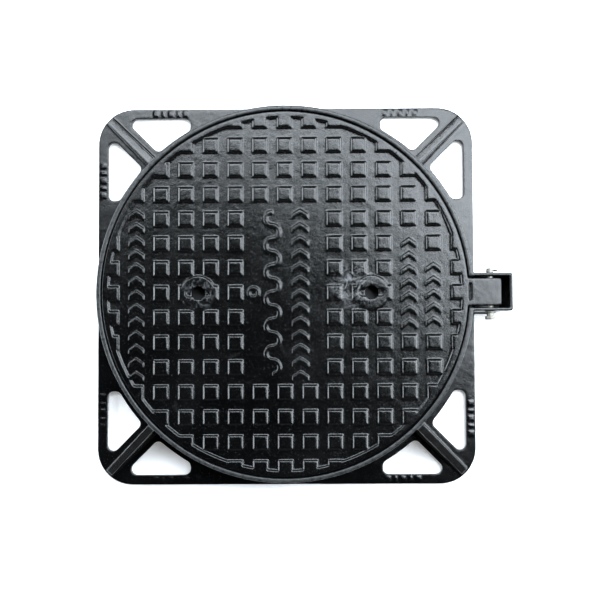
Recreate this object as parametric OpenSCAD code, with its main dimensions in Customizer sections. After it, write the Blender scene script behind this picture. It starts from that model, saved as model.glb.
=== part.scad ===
// Hinged ductile-iron manhole cover with a square-flanged frame.
// Origin: centre of the clear opening, in the plane of the frame's underside. +Z is up,
// +X points from the opening's centre to the hinge.

/* [Frame] */
// Diameter of the clear opening
clear_dia = 600; // [560:5:620]
// Side of the square base flange
flange_side = 700; // [690:1:720]
// Thickness of the base flange
flange_t = 12; // [8:1:16]
// Radius of the flange's outer corners
corner_r = 66; // [40:1:70]
// Height of the frame from base to road surface
frame_h = 100; // [95:1:120]
// Height of the seat above the base
seat_z = 54; // [50:0.5:56]
// Thickness of the upstand ring at the top
upstand_t = 8; // [6:0.5:9]
// Width of the corner gussets along their top
gusset_w = 14; // [10:1:18]
// Width of the flange bar outside the anchor holes
border_w = 17.5; // [15:0.5:22]

/* [Cover] */
// Diameter of the cover
cover_dia = 650; // [646:1:652]
// Gap between the cover and the upstand ring
cover_gap = 2.5; // [2.5:0.5:5]
// Thickness of the cover's plate
plate_t = 9; // [7:1:12]
// Height of the studs above the plate
stud_h = 3; // [2.5:0.5:6]
// Distance between stud centres
stud_pitch = 44; // [42:1:46]
// Width of a stud at its foot
stud_foot = 28; // [26:1:34]
// Width of a stud at its top
stud_top = 21; // [18:0.5:25.5]
// Width of the raised rim
rim_w = 10; // [8:1:12]
// Thickness of the stiffening ribs
rib_t = 9; // [6:1:12]

/* [Keyways] */
// Distance of each keyway from the centre
key_x = 154; // [132:1:160]
// Diameter of the key hole
key_dia = 24; // [20:1:26]
// Diameter of the boss round the key hole
boss_dia = 60; // [54:1:64]
// Length of the key slot
slot_l = 46; // [40:1:50]
// Width of the key slot
slot_w = 14; // [10:1:16]

/* [Hinge] */
// Distance of the hinge pin from the centre
pin_x = 365; // [364:0.5:366]
// Diameter of the hinge pin
pin_dia = 12; // [10:0.5:12]
// Depth of the pin's axis below the road surface
pin_drop = 12; // [11:0.5:12.5]
// Width of the tongue
tongue_w = 49; // [42:1:50]
// Width inside the hinge box
box_in_w = 55.3; // [52:0.1:58]
// Thickness of the hinge box's walls
box_wall = 6.5; // [5:0.5:8]

/* [Hidden] */
$fn = 96;

iron = [0.10, 0.10, 0.11];
zinc = [0.72, 0.73, 0.70];
elastomer = [0.05, 0.05, 0.05];
plastic = [0.12, 0.12, 0.13];

eps = 0.5;                                   // overlap that makes a cut run clear of a face

// Frame, from the opening outwards
open_r = clear_dia / 2;
cover_r = cover_dia / 2;
upstand_in_r = cover_r + cover_gap;
upstand_out_r = upstand_in_r + upstand_t;
foot_r = upstand_out_r + 3.5;                // the wall's draft ends here
skirt_t = 8;                                 // wall that lines the clear opening
seat_t = 8;                                  // thickness of the seat
groove_in_r = open_r + 9;
groove_out_r = open_r + 21;
groove_depth = 3;
web_t = 7;                                   // webs across the channel under the seat
web_count = 16;
hole_in_r = 358;                             // anchor holes start outside this circle
hole_end = 178;                              // and end at this distance from the mid-side
strip_half = 20.5;                           // half of the strip left under a gusset
hole_round = 11;
gusset_end = (flange_side / 2 - corner_r) * sqrt(2) + corner_r - 4;
gusset_tip_h = 3;
gusset_flare = 4;                            // widening of each side, from top to foot at the ring
flange_mark_h = 0.9;
flange_mark_w = 9;
flange_mark_long = 8;
flange_mark_short = 4;
flange_mark_step = 14;

// Hinge
pin_z = frame_h - pin_drop;
pin_r = pin_dia / 2;
box_out_w = box_in_w + 2 * box_wall;
box_out_x = 404;
box_in_x = box_out_x - 6;
box_start_x = upstand_in_r + 2.5;
box_floor = 8;
box_round = 5;
pad_w = box_out_w + 7;                       // foot of the box, as thick as the flange
pad_x = 394;
pad_round = 12;
notch_z = 83;                                // the upstand is cut down to here for the tongue
notch_start_x = cover_r - 8;
notch_l = 30;
ear_bore_r = pin_r + 0.3;

// Cover
plate_z = frame_h - stud_h;
plate_under_z = plate_z - plate_t;
cover_bottom_z = seat_z + 3.1;
cover_skirt_t = 17;
skirt_draft = 1;
rib_bottom_z = cover_bottom_z + 1;
rim_in_r = cover_r - rim_w;
rim_draft = 3;                               // the rim's inner side spreads by this to the plate
hub_r = 45;
mid_ring_r = 214;
mid_ring_rise = 6;                           // the middle ring ends this far above the ribs
rib_count = 8;
stud_count = 7;                              // studs on each side of the middle one
stud_sink = 1;                               // studs start this far below the plate's face
stud_slope = (stud_foot - stud_top) / 2 / stud_h;
boss_draft = 1.5;
slot_sink = 3;                               // the slot's floor lies this far below the plate's face
mark_h = 2.5;
mark_step = 24;
chevron_w = 8;
chevron_rise = 9;
wave_x = -22;
wave_count = 12;
wave_r = 15;
wave_w = 6;
ring_x = -56;
ring_r = 11;
ring_w = 5;
tongue_start_x = rim_in_r + 2;
tongue_t = 14;
tongue_end_x = pin_x + 18.5;
tongue_round = 5;
heel_start_x = pin_x - 10;
heel_z = pin_z - 23;
tongue_bore_r = pin_r + 0.08;
crescent_w = 4;
crescent_l = 30;
crescent_depth = 4;

// Keyway cups
cup_r = 31;
cup_t = 2.5;
cup_gap = 0.1;
collar_t = 5;
collar_h = 16;

// Blank areas between the studs: [first column, last column, first row, last row]
BLANKS = [[-6, -6, -3, 3], [-1, 1, -3, 3], [5, 5, -1, 2], [6, 6, -1, 1]];

// Columns of marks in the blank areas: [x, y of the middle, number of marks, width]
MARK_COLUMNS = [[-264, 0, 13, 26], [27, 0, 13, 28], [220, 20, 7, 26], [263, 0, 5, 26]];

// Groups of plain bars on the flange: [side, counted anticlockwise from +Y; place along it]
FLANGE_MARKS = [[0, -215], [0, 215], [1, -215], [1, 215], [2, -215], [2, 215], [3, 230]];

// ---------- shapes used more than once ----------

// Plan of a plate whose two far corners, on the +X side, are rounded.
module far_round_plan(x0, x1, w, r) {
    translate([x0, -w / 2])
        square([x1 - x0 - r, w]);
    translate([x0, -w / 2 + r])
        square([x1 - x0, w - 2 * r]);
    for (side = [-1, 1])
        translate([x1 - r, side * (w / 2 - r)])
            circle(r);
}

// Square plan with four rounded corners.
module round_square_plan(side, r) {
    square([side, side - 2 * r], center = true);
    square([side - 2 * r, side], center = true);
    for (x = [-1, 1], y = [-1, 1])
        translate([x, y] * (side / 2 - r))
            circle(r);
}

module tube(outer_r, inner_r, z0, z1) {
    rotate_extrude()
        translate([inner_r, z0])
            square([outer_r - inner_r, z1 - z0]);
}

// A cylinder along Y, centred on y.
module y_rod(r, length, y = 0) {
    translate([0, y + length / 2, 0])
        rotate([90, 0, 0])
            cylinder(r = r, h = length);
}

// ---------- frame ----------

// Section of the cast ring: upstand, seat with its groove, and the wall lining the opening.
module ring_section() {
    polygon([
        [open_r, 0], [open_r + skirt_t, 0], [open_r + skirt_t, seat_z - seat_t],
        [upstand_in_r, seat_z - seat_t], [upstand_in_r, 0], [foot_r, 0], [foot_r, flange_t],
        [upstand_out_r, frame_h], [upstand_in_r, frame_h], [upstand_in_r, seat_z],
        [groove_out_r, seat_z], [groove_out_r, seat_z - groove_depth],
        [groove_in_r, seat_z - groove_depth], [groove_in_r, seat_z], [open_r, seat_z]
    ]);
}

// One anchor hole, above the diagonal that runs to the corner (+X, +Y).
module anchor_hole_plan() {
    edge = flange_side / 2 - border_w;
    strip = strip_half * sqrt(2);
    offset(r = hole_round, $fn = 32)
        offset(delta = -hole_round)
            difference() {
                polygon([
                    [hole_end, hole_end], [edge - strip, edge], [hole_end, edge],
                    [hole_end, hole_end + strip]
                ]);
                circle(r = hole_in_r, $fn = 180);
                translate([hole_end, hole_end])
                    rotate(45)
                        translate([0, -flange_side])
                            square([flange_side, flange_side + strip_half]);
            }
}

module anchor_holes() {
    for (quarter = [0:3], flip = [0, 1])
        rotate(quarter * 90)
            mirror([flip, -flip, 0])
                translate([0, 0, -eps])
                    linear_extrude(flange_t + 2 * eps)
                        anchor_hole_plan();
}

module flange() {
    difference() {
        linear_extrude(flange_t)
            round_square_plan(flange_side, corner_r);
        translate([0, 0, -eps])
            cylinder(r = upstand_in_r + 1, h = flange_t + 2 * eps, $fn = 180);
        anchor_holes();
    }
}

// Gusset of constant width along its top, with drafted sides that spread towards the foot.
module gusset() {
    start = upstand_out_r - 3;
    top = frame_h - eps;
    tip = flange_t + gusset_tip_h;
    half = gusset_w / 2;
    tip_half = half + gusset_flare * (tip - eps) / (top - eps);
    side = [
        [start, half + gusset_flare, eps], [start, half, top],
        [gusset_end, half, tip], [gusset_end, tip_half, eps]
    ];
    polyhedron(
        points = concat(side, [for (p = side) [p[0], -p[1], p[2]]]),
        faces = [[3, 2, 1, 0], [4, 5, 6, 7], [1, 5, 4, 0], [2, 6, 5, 1], [3, 7, 6, 2], [0, 4, 7, 3]]
    );
}

module hinge_box() {
    difference() {
        union() {
            linear_extrude(frame_h)
                far_round_plan(box_start_x, box_out_x, box_out_w, box_round);
            linear_extrude(flange_t)
                far_round_plan(foot_r, pad_x, pad_w, pad_round);
        }
        translate([0, -box_in_w / 2, box_floor])
            cube([box_in_x, box_in_w, frame_h]);
    }
}

// Low plain bars cast on the flange near its corners.
module flange_marks() {
    for (place = FLANGE_MARKS, i = [-2:2])
        rotate(place[0] * 90)
            translate([place[1] + flange_mark_step * i, flange_side / 2 - border_w / 2, flange_t])
                cube(
                    [i % 2 == 0 ? flange_mark_long : flange_mark_short, flange_mark_w, 2 * flange_mark_h],
                    center = true
                );
}

module frame() {
    color(iron)
        difference() {
            union() {
                rotate_extrude($fn = 180)
                    ring_section();
                for (i = [0:web_count - 1])
                    rotate((i + 0.5) * 360 / web_count)
                        translate([open_r + skirt_t - 1, -web_t / 2, 2])
                            cube([upstand_in_r - open_r - skirt_t + 2, web_t, seat_z - seat_t]);
                flange();
                flange_marks();
                for (quarter = [0:3])
                    rotate(45 + quarter * 90)
                        gusset();
                hinge_box();
            }
            translate([notch_start_x, -box_in_w / 2, notch_z])
                cube([notch_l, box_in_w, frame_h]);
            translate([pin_x, 0, pin_z])
                y_rod(ear_bore_r, box_out_w + 2 * eps);
        }
}

module seat_gasket() {
    color(elastomer)
        tube(groove_out_r - 0.2, groove_in_r + 0.2, seat_z - groove_depth, cover_bottom_z - 0.3, $fn = 180);
}

// ---------- cover ----------

module cover_section() {
    skirt_in_r = cover_r - cover_skirt_t;
    polygon([
        [0, plate_under_z], [skirt_in_r - skirt_draft, plate_under_z],
        [skirt_in_r, cover_bottom_z], [cover_r - skirt_draft, cover_bottom_z],
        [cover_r, plate_z], [cover_r, frame_h], [rim_in_r, frame_h],
        [rim_in_r - rim_draft, plate_z],
        [0, plate_z]
    ]);
}

// Side view of a row of ridges; two such rows crossing at right angles leave the studs.
module ridge_section() {
    span = rim_in_r + eps;
    low = plate_z - stud_sink;
    foot = stud_foot / 2 + stud_slope * stud_sink;
    ridges = [
        for (i = [stud_count:-1:-stud_count])
            each [
                [i * stud_pitch + foot, low], [i * stud_pitch + stud_top / 2, frame_h],
                [i * stud_pitch - stud_top / 2, frame_h], [i * stud_pitch - foot, low]
            ]
    ];
    reach = stud_count * stud_pitch + foot + 1;
    polygon(concat([[-reach, low - 2], [reach, low - 2], [reach, low]], ridges, [[-reach, low]]));
}

module studs() {
    length = 2 * cover_r;
    difference() {
        intersection() {
            rotate([90, 0, 0])
                linear_extrude(length, center = true)
                    ridge_section();
            rotate([90, 0, 90])
                linear_extrude(length, center = true)
                    ridge_section();
            translate([0, 0, plate_z - 10])
                cylinder(r = rim_in_r + 0.3, h = 20, $fn = 180);
        }
        for (b = BLANKS)
            translate([(b[0] - 0.5) * stud_pitch, (b[2] - 0.5) * stud_pitch, plate_z - stud_sink - eps])
                cube([(b[1] - b[0] + 1) * stud_pitch, (b[3] - b[2] + 1) * stud_pitch, stud_h + 2]);
    }
}

// Raised ornament in the blank areas: columns of chevrons, a wave and a ring.
module chevron(length) {
    half = length / 2;
    translate([0, 0, -stud_sink])
        linear_extrude(mark_h + stud_sink)
            polygon([
                [-half, 0], [0, chevron_rise], [half, 0],
                [half, chevron_w], [0, chevron_rise + chevron_w], [-half, chevron_w]
            ]);
}

module mark_column(x, y_mid, count, length) {
    for (i = [0:count - 1])
        translate([x, y_mid + (i - count / 2) * mark_step, plate_z])
            chevron(length);
}

// Wave of half rings that swing to either side of a line along Y.
module wave_mark() {
    for (i = [0:wave_count - 1])
        translate([wave_x, (i - (wave_count - 1) / 2) * (2 * wave_r - wave_w), 0])
            intersection() {
                tube(wave_r, wave_r - wave_w, plate_z - stud_sink, plate_z + mark_h);
                translate([i % 2 == 0 ? 0 : -2 * wave_r, -wave_r, plate_z - stud_sink - eps])
                    cube([2 * wave_r, 2 * wave_r, mark_h + stud_sink + 2 * eps]);
            }
}

module marks() {
    for (c = MARK_COLUMNS)
        mark_column(c[0], c[1], c[2], c[3]);
    wave_mark();
    translate([ring_x, 0, 0])
        tube(ring_r, ring_r - ring_w, plate_z - stud_sink, plate_z + mark_h);
}

module keyhole_boss() {
    translate([0, 0, plate_z - stud_sink])
        cylinder(r1 = boss_dia / 2 + boss_draft, r2 = boss_dia / 2, h = stud_h + stud_sink);
    translate([0, 0, plate_under_z - collar_h])
        cylinder(r = cup_r + cup_gap + collar_t, h = collar_h + 1);
}

// The slot is a recess above the plate; only the round hole goes through.
module keyhole_cut() {
    end = slot_l / 2 - slot_w / 2;
    translate([0, 0, plate_z - slot_sink])
        linear_extrude(stud_h + slot_sink + eps) {
            square([2 * end, slot_w], center = true);
            for (side = [-1, 1])
                translate([side * end, 0])
                    circle(r = slot_w / 2);
        }
    translate([0, 0, plate_under_z - eps])
        cylinder(r = key_dia / 2, h = plate_t + stud_h + 2 * eps);
    translate([0, 0, cover_bottom_z])
        cylinder(r = cup_r + cup_gap, h = plate_under_z - cover_bottom_z);
}

module ribs() {
    rib_h = plate_under_z - rib_bottom_z + 1;
    for (i = [0:rib_count - 1])
        rotate((i + 0.5) * 360 / rib_count)
            translate([hub_r - 2, -rib_t / 2, rib_bottom_z])
                cube([cover_r - cover_skirt_t - hub_r + 4, rib_t, rib_h]);
    tube(hub_r, hub_r - rib_t, rib_bottom_z, plate_under_z + 1);
    tube(mid_ring_r, mid_ring_r - rib_t, rib_bottom_z + mid_ring_rise, plate_under_z + 1);
}

module tongue() {
    translate([0, 0, frame_h - tongue_t])
        linear_extrude(tongue_t)
            far_round_plan(tongue_start_x, tongue_end_x, tongue_w, tongue_round);
    translate([0, 0, heel_z])
        linear_extrude(frame_h - heel_z)
            far_round_plan(heel_start_x, tongue_end_x, tongue_w, tongue_round);
}

module cover() {
    color(iron)
        difference() {
            union() {
                rotate_extrude($fn = 180)
                    cover_section();
                studs();
                marks();
                ribs();
                tongue();
                for (side = [-1, 1])
                    translate([side * key_x, 0, 0])
                        keyhole_boss();
            }
            for (side = [-1, 1])
                translate([side * key_x, 0, 0])
                    keyhole_cut();
            translate([pin_x, 0, pin_z])
                y_rod(tongue_bore_r, tongue_w + 2 * eps);
            translate([cover_r + 1, -crescent_l / 2, frame_h - crescent_depth])
                cube([crescent_w, crescent_l, crescent_depth + eps]);
        }
}

// Closed cup under a key hole: it keeps grit and water out of the chamber.
module keyway_cup() {
    color(plastic)
        difference() {
            translate([0, 0, rib_bottom_z])
                cylinder(r = cup_r, h = plate_under_z - rib_bottom_z);
            translate([0, 0, rib_bottom_z + cup_t])
                cylinder(r = cup_r - cup_t, h = plate_under_z - rib_bottom_z);
        }
}

module keyway_cup_left() {
    translate([-key_x, 0, 0])
        keyway_cup();
}

module keyway_cup_right() {
    translate([key_x, 0, 0])
        keyway_cup();
}

// ---------- hinge pin and its fixings ----------

head_r = 9;
head_t = 6;
head_y = -box_out_w / 2 - 9;                 // the pin floats, so its head stands off the box
washer_t = 2;
pin_end_y = box_out_w / 2 + 8;
split_r = 1.5;
split_y = box_out_w / 2 + 4;

module hinge_pin() {
    color(zinc)
        translate([pin_x, 0, pin_z])
            difference() {
                union() {
                    y_rod(pin_r, pin_end_y - head_y, (pin_end_y + head_y) / 2);
                    y_rod(head_r, head_t, head_y - head_t / 2);
                }
                translate([0, split_y, 0])
                    rotate([0, 90, 0])
                        cylinder(r = split_r + 0.2, h = 3 * pin_r, center = true);
            }
}

module pin_washer() {
    color(zinc)
        translate([pin_x, -box_out_w / 2 - washer_t / 2, pin_z])
            difference() {
                y_rod(head_r + 0.5, washer_t);
                y_rod(pin_r + 0.2, washer_t + 2 * eps);
            }
}

// Split pin: shank through the hinge pin, an eye on one side and two bent legs on the other.
module split_pin() {
    eye_r = 3;
    leg = 5;
    color(zinc)
        translate([pin_x, split_y, pin_z]) {
            rotate([0, 90, 0])
                cylinder(r = split_r, h = 2 * pin_r + 2 * split_r, center = true, $fn = 32);
            translate([pin_r + split_r + eye_r - 0.6, 0, 0])
                rotate([90, 0, 0])
                    rotate_extrude($fn = 48)
                        translate([eye_r, 0])
                            circle(r = split_r * 0.8, $fn = 24);
            for (side = [-1, 1])
                translate([-pin_r - split_r, 0, 0])
                    rotate([side * 90 - 90, 0, 0])
                        translate([0, 0, -0.5])
                            cylinder(r = split_r * 0.8, h = leg + 0.5, $fn = 24);
        }
}

frame();
cover();
seat_gasket();
hinge_pin();
pin_washer();
split_pin();
keyway_cup_left();
keyway_cup_right();
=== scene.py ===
import math

import bmesh
import bpy
import numpy as np
from mathutils import Matrix, Vector


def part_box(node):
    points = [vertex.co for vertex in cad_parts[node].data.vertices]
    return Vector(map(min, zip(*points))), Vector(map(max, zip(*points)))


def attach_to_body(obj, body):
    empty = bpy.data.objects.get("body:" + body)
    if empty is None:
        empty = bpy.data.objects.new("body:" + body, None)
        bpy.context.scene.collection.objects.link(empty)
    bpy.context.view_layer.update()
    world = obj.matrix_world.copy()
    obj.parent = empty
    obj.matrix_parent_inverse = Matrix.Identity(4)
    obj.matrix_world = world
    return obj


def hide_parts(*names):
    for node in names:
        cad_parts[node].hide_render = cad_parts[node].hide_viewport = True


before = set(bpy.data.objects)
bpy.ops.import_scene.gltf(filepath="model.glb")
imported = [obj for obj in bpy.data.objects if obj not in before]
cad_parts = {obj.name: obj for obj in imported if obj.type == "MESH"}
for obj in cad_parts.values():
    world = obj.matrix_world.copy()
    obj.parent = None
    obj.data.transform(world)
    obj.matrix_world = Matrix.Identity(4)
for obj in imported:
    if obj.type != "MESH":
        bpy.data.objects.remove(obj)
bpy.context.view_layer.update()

MM = 0.001

# ---------- places taken from the frame ----------

FRAME_LO, FRAME_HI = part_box("frame")
COVER_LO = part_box("cover")[0]
PIN_LO, PIN_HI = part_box("hinge_pin")
KEY_LO, KEY_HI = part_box("keyway_cup_right")
TOP = FRAME_HI.z                                   # road surface
COVER_R = -COVER_LO.x                              # the tongue is on the +X side only
COVER_GAP = 2.5 * MM                               # between the cover and the upstand ring
UPSTAND_T = 8.0 * MM
RING_IN_R = COVER_R + COVER_GAP
RING_OUT_R = RING_IN_R + UPSTAND_T
KEY_X = (KEY_LO.x + KEY_HI.x) / 2
PIN_X = (PIN_LO.x + PIN_HI.x) / 2
PIN_Z = (PIN_LO.z + PIN_HI.z) / 2
# Turns the axis of a lathe to that of the hinge pin, which lies along Y.
ALONG_PIN = Matrix.Translation((PIN_X, 0, PIN_Z)) @ Matrix.Rotation(math.radians(-90), 4, "X")

# ---------- shape settings ----------

WELD = 0.002 * MM                                  # points closer than this become one
ROUND_STEPS = 4                                    # spans along each eased corner of a profile
COVER_VOXEL = 1.1 * MM
FRAME_VOXEL = 1.3 * MM
COVER_MELT = 3                                     # smoothing passes
FRAME_MELT = 2
KEPT_SHARE = 0.25                                  # of the triangles that the voxels give
UNEVEN = (("waves", 45 * MM, 0.5 * MM), ("grain", 7 * MM, 0.25 * MM))    # label, size, depth
UNEVEN_MID = 0.75                                  # above a half, so that the skin moves inwards

SHANK_R = 6.0 * MM
HEAD_T = 6.0 * MM
WASHER_CLEARANCE = 0.2 * MM                        # between the washer and the shank
SPLIT_WIRE_R = 1.1 * MM
SPLIT_HALF_APART = 0.75 * MM                       # from the split pin's axis to each of its wires
SPLIT_EYE_R = 3.0 * MM
GASKET_W = 11.6 * MM
GASKET_VALLEY_HALF_W = 2.5 * MM                    # the valley lies between the two lips
GASKET_VALLEY_DEPTH = 2.4 * MM
CUP_T = 2.5 * MM
CUP_STEP_RISE = 1.2 * MM                           # the middle of the cup's base is raised
CUP_STEP_IN = 0.35                                 # where the step lies, in radii of the cup
CUP_STEP_OUT = 0.42
CUP_DRAFT = 0.6 * MM

# ---------- colours ----------

PAINT_DEEP = (0.0010, 0.0011, 0.0013)
PAINT_THIN = (0.0024, 0.0026, 0.0029)
# Grey of the dust film, and also of the painted highlight band on the frame ring's top.
DUST_AND_HIGHLIGHT_GREY = (0.055, 0.057, 0.058)
# Grey of the painted glints: small specks painted into the colour as little highlights.
GLINT_GREY = (0.10, 0.105, 0.11)
SCUFF_GREY = (0.15, 0.155, 0.16)
DULL = (0.45, 0.45, 0.45)                          # roughness of dust and scuffs
COVER_DUST = 0.40
FRAME_DUST = 0.30
# Scuffs on the cover, round the key holes: x, y and radius.
COVER_SCUFFS = [(KEY_X - 30 * MM, 12 * MM, 50 * MM), (-KEY_X, 0.0, 35 * MM)]
SKY_TINT = (0.87, 0.94, 1.0)
WALL_STOP = (0.35, (0.38, 0.40, 0.41))             # place on the world's ramp, and colour
CEILING_STOP = (0.75, (0.015, 0.015, 0.015))
FLOOR_GLOW = 0.26

# ---------- stage settings ----------

CAMERA_SENSOR = 36.0
CAMERA_LENS = 57.6
CAMERA_TILT_DEG = (-2.36, -0.40, 0.29)             # about X, Y and Z
CAMERA_OFFSET = (-0.0268, 0.0130, -1.70)           # the middle of the top, seen by the camera
GAMMA = 0.86
FLOOR_HALF_SIDE = 40.0
FLOOR_DROP = 0.5 * MM
STRIP_X = 2.0
STRIP_Y = 0.75
STRIP_Z = 0.66
STRIP_SIZE = (3.1, 1.1)


# ---------- node helpers ----------

class Nodes:
    """Short forms for building a material's node tree."""

    def __init__(self, name):
        self.material = bpy.data.materials.new(name)
        self.material.use_nodes = True
        self.tree = self.material.node_tree
        self.shader = self.tree.nodes["Principled BSDF"]
        self.coord = self.tree.nodes.new("ShaderNodeTexCoord").outputs["Object"]

    def link(self, a, b):
        self.tree.links.new(a, b)

    def noise(self, scale, detail=4.0, roughness=0.55, distortion=0.0, coord=None):
        n = self.tree.nodes.new("ShaderNodeTexNoise")
        n.inputs["Scale"].default_value = scale
        n.inputs["Detail"].default_value = detail
        n.inputs["Roughness"].default_value = roughness
        n.inputs["Distortion"].default_value = distortion
        self.link(coord or self.coord, n.inputs["Vector"])
        return n.outputs["Fac"]

    def cells(self, scale):
        n = self.tree.nodes.new("ShaderNodeTexVoronoi")
        n.inputs["Scale"].default_value = scale
        self.link(self.coord, n.inputs["Vector"])
        return n.outputs["Distance"]

    def stretched(self, scale):
        n = self.tree.nodes.new("ShaderNodeMapping")
        n.inputs["Scale"].default_value = scale
        self.link(self.coord, n.inputs["Vector"])
        return n.outputs["Vector"]

    def ramp(self, value, *stops):
        """stops are (position, colour or grey level)."""
        n = self.tree.nodes.new("ShaderNodeValToRGB")
        while len(n.color_ramp.elements) < len(stops):
            n.color_ramp.elements.new(0.5)
        for element, (position, level) in zip(n.color_ramp.elements, stops):
            element.position = position
            rgb = level if isinstance(level, tuple) else (level,) * 3
            element.color = (*rgb, 1.0)
        self.link(value, n.inputs["Fac"])
        return n.outputs["Color"]

    def math(self, operation, a, b):
        n = self.tree.nodes.new("ShaderNodeMath")
        n.operation = operation
        for socket, value in zip(n.inputs, (a, b)):
            if isinstance(value, (int, float)):
                socket.default_value = value
            else:
                self.link(value, socket)
        return n.outputs["Value"]

    def mix(self, factor, a, b):
        n = self.tree.nodes.new("ShaderNodeMix")
        n.data_type = "RGBA"
        self.link(factor, n.inputs["Factor"])
        for socket, value in ((n.inputs["A"], a), (n.inputs["B"], b)):
            if isinstance(value, tuple):
                socket.default_value = (*value, 1.0)
            else:
                self.link(value, socket)
        return n.outputs["Result"]

    def bump(self, height, distance, strength, under=None):
        n = self.tree.nodes.new("ShaderNodeBump")
        n.inputs["Distance"].default_value = distance
        n.inputs["Strength"].default_value = strength
        self.link(height, n.inputs["Height"])
        if under is not None:
            self.link(under, n.inputs["Normal"])
        return n.outputs["Normal"]

    def distance(self, x, y):
        """Distance from the upright line through (x, y)."""
        flat = self.tree.nodes.new("ShaderNodeVectorMath")
        flat.operation = "MULTIPLY"
        flat.inputs[1].default_value = (1.0, 1.0, 0.0)
        self.link(self.coord, flat.inputs[0])
        n = self.tree.nodes.new("ShaderNodeVectorMath")
        n.operation = "DISTANCE"
        n.inputs[1].default_value = (x, y, 0.0)
        self.link(flat.outputs["Vector"], n.inputs[0])
        return n.outputs["Value"]

    def scuff_and_painted_highlight(self, film, colour, near, broken, grey):
        """Where near and broken are both high, the dull film grows and the colour turns grey."""
        # Used for real scuffs round the key holes and for the ring band, which is partly a painted
        # highlight.
        wear_and_highlight = self.math("MULTIPLY", near, broken)
        return self.math("MAXIMUM", film, wear_and_highlight), self.mix(wear_and_highlight, colour, grey)

    def finish(self, colour=None, roughness=None, normal=None, **sockets):
        for value, name in ((colour, "Base Color"), (roughness, "Roughness"), (normal, "Normal")):
            if value is not None:
                self.link(value, self.shader.inputs[name])
        for name, value in sockets.items():
            self.shader.inputs[name.replace("_", " ")].default_value = value
        return self.material


# ---------- materials ----------

def coated_iron(name, dust, worn_spots=(), rubbed_highlight_ring=None):
    """Sand-cast iron dipped in black bitumen paint: pitted skin, runs, dull patches and dust.
    The paint is scuffed and dusty round each of the worn spots, (x, y, radius). Along the ring,
    (inner radius, outer radius), round the middle of the opening, it is rubbed and dull, and painted
    a lighter grey that is also a painted highlight on the ring's top. Small grey specks are painted
    glints."""
    m = Nodes(name)
    grain = m.noise(900.0, 3.0, 0.6)
    skin = m.noise(400.0, 4.0, 0.6)
    runs = m.noise(60.0, 3.0, 0.5, 0.4)
    patches = m.noise(9.0, 4.0, 0.55, 0.6)
    pits = m.ramp(m.cells(330.0), (0.0, 0.0), (0.16, 1.0))
    paint = m.ramp(patches, (0.35, PAINT_DEEP), (0.65, PAINT_THIN))
    # Painted glints: small grey specks in the base colour that stand in for little highlights.
    painted_glints = m.ramp(m.noise(520.0, 2.0, 0.7), (0.64, 0.0), (0.72, 1.0))
    film = m.ramp(m.noise(16.0, 6.0, 0.7, 1.2), (0.60, 0.0), (0.82, dust))
    tone = m.mix(film, paint, DUST_AND_HIGHLIGHT_GREY)
    for x, y, radius in worn_spots:
        near = m.ramp(m.distance(x, y), (0.35 * radius, 1.0), (radius, 0.0))
        broken = m.ramp(m.noise(70.0, 6.0, 0.75, 0.8), (0.48, 0.0), (0.64, 0.8))
        film, tone = m.scuff_and_painted_highlight(film, tone, near, broken, SCUFF_GREY)
    # The band on the ring's top is partly rubbed wear and partly a painted highlight: its lighter grey
    # stands in for light caught by the top.
    if rubbed_highlight_ring:
        inner, outer = rubbed_highlight_ring
        rubbed_highlight_band = m.ramp(
            m.distance(0.0, 0.0),
            (inner - MM, 0.0), (inner, 1.0), (outer, 1.0), (outer + MM, 0.0),
        )
        broken = m.ramp(m.noise(140.0, 4.0, 0.7), (0.40, 0.35), (0.60, 0.75))
        film, tone = m.scuff_and_painted_highlight(film, tone, rubbed_highlight_band, broken, DUST_AND_HIGHLIGHT_GREY)
    # The painted glints are mixed into the colour here.
    tone = m.mix(m.math("MULTIPLY", painted_glints, 0.55), tone, GLINT_GREY)
    rough = m.mix(film, m.ramp(patches, (0.30, 0.13), (0.70, 0.21)), DULL)
    normal = m.bump(runs, 0.7 * MM, 0.35)
    normal = m.bump(skin, 0.26 * MM, 0.8, normal)
    normal = m.bump(pits, 0.15 * MM, 0.35, normal)
    normal = m.bump(grain, 0.12 * MM, 0.5, normal)
    return m.finish(tone, rough, normal, Specular_IOR_Level=0.5)


def zinc_steel(name):
    """Zinc-plated steel with a faint spangle, lines along its length and some white rust."""
    m = Nodes(name)
    drawn = m.noise(40.0, 3.0, 0.5, 0.0, m.stretched((8.0, 1.0, 8.0)))
    tone = m.ramp(m.cells(260.0), (0.0, (0.15, 0.145, 0.13)), (1.0, (0.25, 0.24, 0.215)))
    white_rust = m.ramp(m.noise(120.0, 5.0, 0.7), (0.55, 0.0), (0.75, 0.8))
    tone = m.mix(white_rust, tone, (0.36, 0.35, 0.315))
    rough = m.ramp(drawn, (0.3, 0.34), (0.7, 0.52))
    return m.finish(tone, rough, m.bump(drawn, 0.1 * MM, 0.5), Metallic=0.85)


def elastomer(name):
    """Matt black elastomer with a paler bloom."""
    m = Nodes(name)
    bloom = m.noise(60.0, 4.0, 0.6)
    tone = m.ramp(bloom, (0.3, (0.010, 0.010, 0.011)), (0.7, (0.030, 0.030, 0.031)))
    rough = m.ramp(bloom, (0.3, 0.62), (0.7, 0.8))
    return m.finish(tone, rough, m.bump(m.noise(700.0, 2.0), 0.1 * MM, 0.4))


def moulded_plastic(name):
    """Black plastic with faint flow marks and a fine moulded grain."""
    m = Nodes(name)
    flow = m.noise(30.0, 3.0, 0.5, 0.8)
    tone = m.ramp(flow, (0.3, (0.004, 0.004, 0.005)), (0.7, (0.010, 0.010, 0.012)))
    rough = m.ramp(flow, (0.3, 0.42), (0.7, 0.55))
    return m.finish(tone, rough, m.bump(m.noise(1100.0, 2.0), 0.08 * MM, 0.5))


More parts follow.
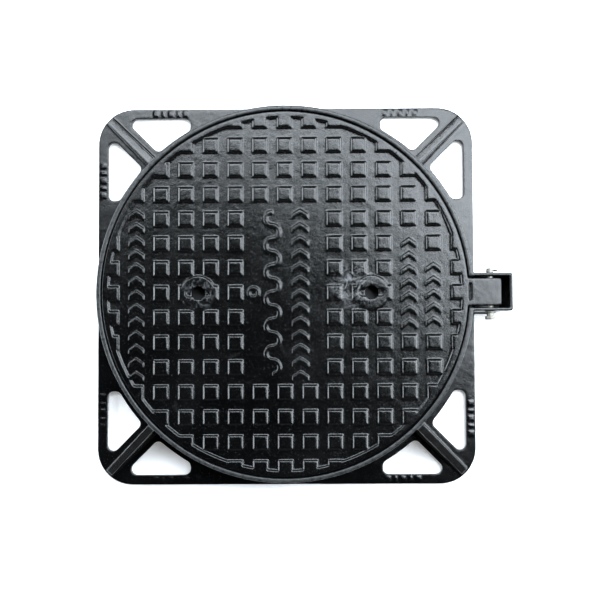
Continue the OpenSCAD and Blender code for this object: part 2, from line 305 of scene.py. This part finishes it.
def floor_material():
    """White sheet that glows a little, as on a product table."""
    m = Nodes("pale_floor")
    tone = m.ramp(m.noise(3.0, 3.0, 0.5), (0.3, (0.88, 0.88, 0.89)), (0.7, (0.92, 0.92, 0.92)))
    m.shader.inputs["Emission Color"].default_value = (1.0, 1.0, 1.0, 1.0)
    return m.finish(tone, None, None, Roughness=0.9, Emission_Strength=FLOOR_GLOW)


# ---------- shapes used more than once ----------

def new_object(name, mesh, material):
    o = bpy.data.objects.new(name, mesh)
    bpy.context.scene.collection.objects.link(o)
    mesh.materials.clear()
    mesh.materials.append(material)
    return o


def apply_modifiers(o):
    graph = bpy.context.evaluated_depsgraph_get()
    mesh = bpy.data.meshes.new_from_object(o.evaluated_get(graph))
    o.modifiers.clear()
    o.data = mesh


def keep_inside(mesh, lo, hi):
    """Pulls back any point that the uneven skin pushed out of the CAD node's own box."""
    co = np.empty(len(mesh.vertices) * 3, dtype=np.float32)
    mesh.vertices.foreach_get("co", co)
    co = np.clip(co.reshape(-1, 3), np.array(lo, np.float32), np.array(hi, np.float32))
    mesh.vertices.foreach_set("co", co.ravel())
    mesh.update()


def casting(node, name, material, voxel, passes):
    """The CAD node as it leaves a sand mould: every edge and inside corner rounded, and the
    skin slightly uneven. Small voxels are melted together, pushed inwards, and thinned."""
    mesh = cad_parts[node].data.copy()
    bm = bmesh.new()
    bm.from_mesh(mesh)
    bmesh.ops.remove_doubles(bm, verts=bm.verts, dist=WELD)
    bm.to_mesh(mesh)
    bm.free()
    o = new_object(name, mesh, material)
    remesh = o.modifiers.new("voxels", "REMESH")
    remesh.mode = "VOXEL"
    remesh.voxel_size = voxel
    melt = o.modifiers.new("melt", "SMOOTH")
    melt.factor = 0.5
    melt.iterations = passes
    for label, size, depth in UNEVEN:
        texture = bpy.data.textures.new(name + "_" + label, "CLOUDS")
        texture.noise_scale = size
        texture.noise_depth = 2
        uneven = o.modifiers.new(label, "DISPLACE")
        uneven.texture = texture
        uneven.texture_coords = "LOCAL"
        uneven.strength = depth
        uneven.mid_level = UNEVEN_MID
    thin = o.modifiers.new("thin", "DECIMATE")
    thin.ratio = KEPT_SHARE
    apply_modifiers(o)
    keep_inside(o.data, *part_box(node))
    o.data.materials.clear()
    o.data.materials.append(material)
    o.data.shade_smooth()
    return o


def rounded(corners):
    """A profile whose corners, (across, along, radius), are eased by that radius."""
    line = []
    count = len(corners)
    for i, (across, along, radius) in enumerate(corners):
        corner = Vector((across, along))
        if radius == 0:
            line.append(corner)
            continue
        before = Vector(corners[i - 1][:2])
        after = Vector(corners[(i + 1) % count][:2])
        start = corner + (before - corner).normalized() * radius
        end = corner + (after - corner).normalized() * radius
        for k in range(ROUND_STEPS + 1):
            t = k / ROUND_STEPS
            line.append(start * (1 - t) ** 2 + corner * 2 * t * (1 - t) + end * t ** 2)
    return line


def lathe(name, profile, place, material, closed=True, segments=96):
    """Turns a profile of (radius, height) about the Z axis of place."""
    mesh = bpy.data.meshes.new(name)
    bm = bmesh.new()
    rows = []
    for k in range(segments):
        turn = 2 * math.pi * k / segments
        rows.append([
            bm.verts.new(place @ Vector((r * math.cos(turn), r * math.sin(turn), h)))
            for r, h in profile
        ])
    spans = len(profile) if closed else len(profile) - 1
    for k in range(segments):
        a, b = rows[k], rows[(k + 1) % segments]
        for j in range(spans):
            n = (j + 1) % len(profile)
            bm.faces.new((a[j], b[j], b[n], a[n]))
    bmesh.ops.remove_doubles(bm, verts=bm.verts, dist=WELD)
    bmesh.ops.recalc_face_normals(bm, faces=bm.faces)
    bm.to_mesh(mesh)
    bm.free()
    mesh.shade_smooth()
    return new_object(name, mesh, material)


def wire(name, points, radius, material):
    """A round wire through the points."""
    curve = bpy.data.curves.new(name, "CURVE")
    curve.dimensions = "3D"
    curve.bevel_depth = radius
    curve.bevel_resolution = 4
    curve.use_fill_caps = True
    spline = curve.splines.new("NURBS")
    spline.points.add(len(points) - 1)
    for point, place in zip(spline.points, points):
        point.co = (*place, 1.0)
    spline.use_endpoint_u = True
    spline.order_u = 3
    spline.resolution_u = 6
    source = bpy.data.objects.new(name + "_path", curve)
    bpy.context.scene.collection.objects.link(source)
    graph = bpy.context.evaluated_depsgraph_get()
    mesh = bpy.data.meshes.new_from_object(source.evaluated_get(graph))
    bpy.data.objects.remove(source)
    mesh.shade_smooth()
    return new_object(name, mesh, material)


def attach(o, body, slot, *nodes):
    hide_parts(*nodes)
    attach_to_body(o, body)


# ---------- stage ----------

def add_camera():
    """Looks almost straight down, from a little towards the near side."""
    data = bpy.data.cameras.new("camera")
    data.sensor_width = CAMERA_SENSOR
    data.lens = CAMERA_LENS
    tilt_x, tilt_y, tilt_z = (math.radians(degrees) for degrees in CAMERA_TILT_DEG)
    turn = (Matrix.Rotation(tilt_z, 3, "Z") @ Matrix.Rotation(tilt_y, 3, "Y")
            @ Matrix.Rotation(tilt_x, 3, "X"))
    location = Vector((0, 0, TOP)) - turn.transposed() @ Vector(CAMERA_OFFSET)
    camera = bpy.data.objects.new("camera", data)
    bpy.context.scene.collection.objects.link(camera)
    camera.matrix_world = Matrix.Translation(location) @ turn.transposed().to_4x4()
    bpy.context.scene.camera = camera


def add_light(name, location, target, size, power):
    data = bpy.data.lights.new(name, "AREA")
    data.shape = "RECTANGLE"
    data.size, data.size_y = size
    data.energy = power
    data.color = SKY_TINT
    o = bpy.data.objects.new(name, data)
    bpy.context.scene.collection.objects.link(o)
    o.location = location
    o.rotation_mode = "QUATERNION"
    o.rotation_quaternion = (Vector(target) - Vector(location)).to_track_quat("-Z", "Y")


def add_lights():
    """The low strips light the sides of the studs, and the softboxes shine in the plate."""
    beside = (0.0, STRIP_Y, TOP)
    middle = (0.0, 0.0, TOP)
    add_light("left_strip", (-STRIP_X, STRIP_Y, STRIP_Z), beside, STRIP_SIZE, 105.0)
    add_light("right_strip", (STRIP_X, STRIP_Y, STRIP_Z), beside, STRIP_SIZE, 115.0)
    add_light("corner_softbox", (0.675, 0.968, 2.80), middle, (4.0, 1.3), 118.0)
    add_light("far_softbox", (-0.50, 1.15, 2.50), middle, (1.5, 0.9), 24.0)
    add_light("right_softbox", (1.15, 0.50, 2.40), middle, (1.5, 1.4), 40.0)


def add_world():
    """A studio with pale walls and a dark ceiling."""
    world = bpy.data.worlds.new("studio")
    world.use_nodes = True
    tree = world.node_tree
    coord = tree.nodes.new("ShaderNodeTexCoord")
    split = tree.nodes.new("ShaderNodeSeparateXYZ")
    ramp = tree.nodes.new("ShaderNodeValToRGB")
    tree.links.new(coord.outputs["Generated"], split.inputs["Vector"])
    tree.links.new(split.outputs["Z"], ramp.inputs["Fac"])
    tree.links.new(ramp.outputs["Color"], tree.nodes["Background"].inputs["Color"])
    for element, (position, rgb) in zip(ramp.color_ramp.elements, (WALL_STOP, CEILING_STOP)):
        element.position = position
        element.color = (*rgb, 1.0)
    bpy.context.scene.world = world


def add_floor():
    mesh = bpy.data.meshes.new("floor")
    bm = bmesh.new()
    bmesh.ops.create_grid(bm, x_segments=8, y_segments=8, size=FLOOR_HALF_SIDE)
    bm.to_mesh(mesh)
    bm.free()
    floor = new_object("floor", mesh, floor_material())
    floor.location.z = FRAME_LO.z - FLOOR_DROP


def add_stage():
    add_floor()
    add_world()
    add_lights()
    bpy.context.scene.view_settings.view_transform = "Standard"
    bpy.context.scene.view_settings.gamma = GAMMA


# ---------- pieces ----------

def add_cover():
    iron = coated_iron("coated_iron_cover", COVER_DUST, worn_spots=COVER_SCUFFS)
    cover = casting("cover", "cover_casting", iron, COVER_VOXEL, COVER_MELT)
    attach(cover, "cover_assembly", "cover_casting", "cover")


def add_frame():
    # The ring band is a painted highlight as well as rubbed wear.
    iron = coated_iron("coated_iron_frame", FRAME_DUST, rubbed_highlight_ring=(RING_IN_R, RING_OUT_R))
    ring = casting("frame", "frame_casting", iron, FRAME_VOXEL, FRAME_MELT)
    attach(ring, "frame_assembly", "frame_casting", "frame")


def add_hinge_pin(material):
    head_r = (PIN_HI.z - PIN_LO.z) / 2
    head_end_y = PIN_LO.y + HEAD_T
    profile = rounded([
        (0, PIN_LO.y, 0), (head_r, PIN_LO.y, 1.4 * MM), (head_r, head_end_y, 0.8 * MM),
        (SHANK_R, head_end_y, 0.7 * MM), (SHANK_R, PIN_HI.y, 1.6 * MM), (0, PIN_HI.y, 0),
    ])
    pin = lathe("hinge_pin_turned", profile, ALONG_PIN, material, closed=False, segments=64)
    attach(pin, "frame_assembly", "zinc_steel", "hinge_pin")


def add_pin_washer(material):
    lo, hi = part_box("pin_washer")
    outer_r = (hi.z - lo.z) / 2
    inner_r = SHANK_R + WASHER_CLEARANCE
    profile = rounded([
        (inner_r, lo.y, 0.4 * MM), (outer_r, lo.y, 0.7 * MM),
        (outer_r, hi.y, 0.5 * MM), (inner_r, hi.y, 0.4 * MM),
    ])
    washer = lathe("pin_washer_pressed", profile, ALONG_PIN, material, segments=64)
    attach(washer, "frame_assembly", "zinc_steel", "pin_washer")


def add_split_pin(material):
    """One wire: along the upper leg and through the hinge pin, round the eye, and back below."""
    lo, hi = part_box("split_pin")
    y = (lo.y + hi.y) / 2
    leg_x = lo.x + 1.1 * MM
    eye_x = hi.x - 4.0 * MM
    twist = 0.4 * MM                               # keeps the two ends of the eye apart along Y
    upper = [
        (leg_x, hi.z - SPLIT_HALF_APART - PIN_Z), (leg_x, 3.0 * MM),
        (leg_x + 0.6 * MM, SPLIT_HALF_APART), (leg_x + 4.0 * MM, SPLIT_HALF_APART),
        (eye_x - 4.5 * MM, SPLIT_HALF_APART),
    ]
    eye = [
        (eye_x + SPLIT_EYE_R * math.cos(a), y + twist * math.sin(a / 2), PIN_Z + SPLIT_EYE_R * math.sin(a))
        for a in (math.radians(d) for d in range(150, -151, -30))
    ]
    there = [(x, y, PIN_Z + rise) for x, rise in upper]
    back = [(x, y, PIN_Z - rise) for x, rise in reversed(upper)]
    split = wire("split_pin_bent", there + eye + back, SPLIT_WIRE_R, material)
    attach(split, "frame_assembly", "zinc_steel", "split_pin")


def add_seat_gasket(material):
    """A ring with two rounded lips on top of its base."""
    lo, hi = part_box("seat_gasket")
    outer_r = hi.x
    inner_r = outer_r - GASKET_W
    middle_r = (outer_r + inner_r) / 2
    foot = 0.3 * MM
    lip = 1.2 * MM
    profile = rounded([
        (inner_r, lo.z, foot), (outer_r, lo.z, foot), (outer_r, hi.z, lip),
        (middle_r + GASKET_VALLEY_HALF_W, hi.z, lip),
        (middle_r, hi.z - GASKET_VALLEY_DEPTH, 1.5 * MM),
        (middle_r - GASKET_VALLEY_HALF_W, hi.z, lip), (inner_r, hi.z, lip),
    ])
    gasket = lathe("seat_gasket_lipped", profile, Matrix.Identity(4), material, segments=240)
    attach(gasket, "frame_assembly", "elastomer", "seat_gasket")


def add_keyway_cup(side, material):
    """A thin moulded cup with a stepped base."""
    node = "keyway_cup_" + side
    lo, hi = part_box(node)
    outer_r = (hi.x - lo.x) / 2
    depth = hi.z - lo.z
    brim = 0.6 * MM
    profile = rounded([
        (0, CUP_STEP_RISE, 0), (outer_r * CUP_STEP_IN, CUP_STEP_RISE, 0.5 * MM),
        (outer_r * CUP_STEP_OUT, 0, 0.8 * MM), (outer_r - CUP_DRAFT, 0, 3.0 * MM),
        (outer_r, depth, brim), (outer_r - CUP_T, depth, brim),
        (outer_r - CUP_T - CUP_DRAFT, CUP_T, 2.0 * MM), (0, CUP_T + CUP_STEP_RISE, 0),
    ])
    place = Matrix.Translation(((lo.x + hi.x) / 2, (lo.y + hi.y) / 2, lo.z))
    cup = lathe(node + "_moulded", profile, place, material, closed=False)
    attach(cup, "cover_assembly", "black_plastic", node)


# ---------- build ----------

add_camera()
add_stage()
add_cover()
add_frame()

zinc = zinc_steel("zinc_steel")
add_hinge_pin(zinc)
add_pin_washer(zinc)
add_split_pin(zinc)
add_seat_gasket(elastomer("elastomer"))

plastic = moulded_plastic("moulded_plastic")
for side in ("left", "right"):
    add_keyway_cup(side, plastic)
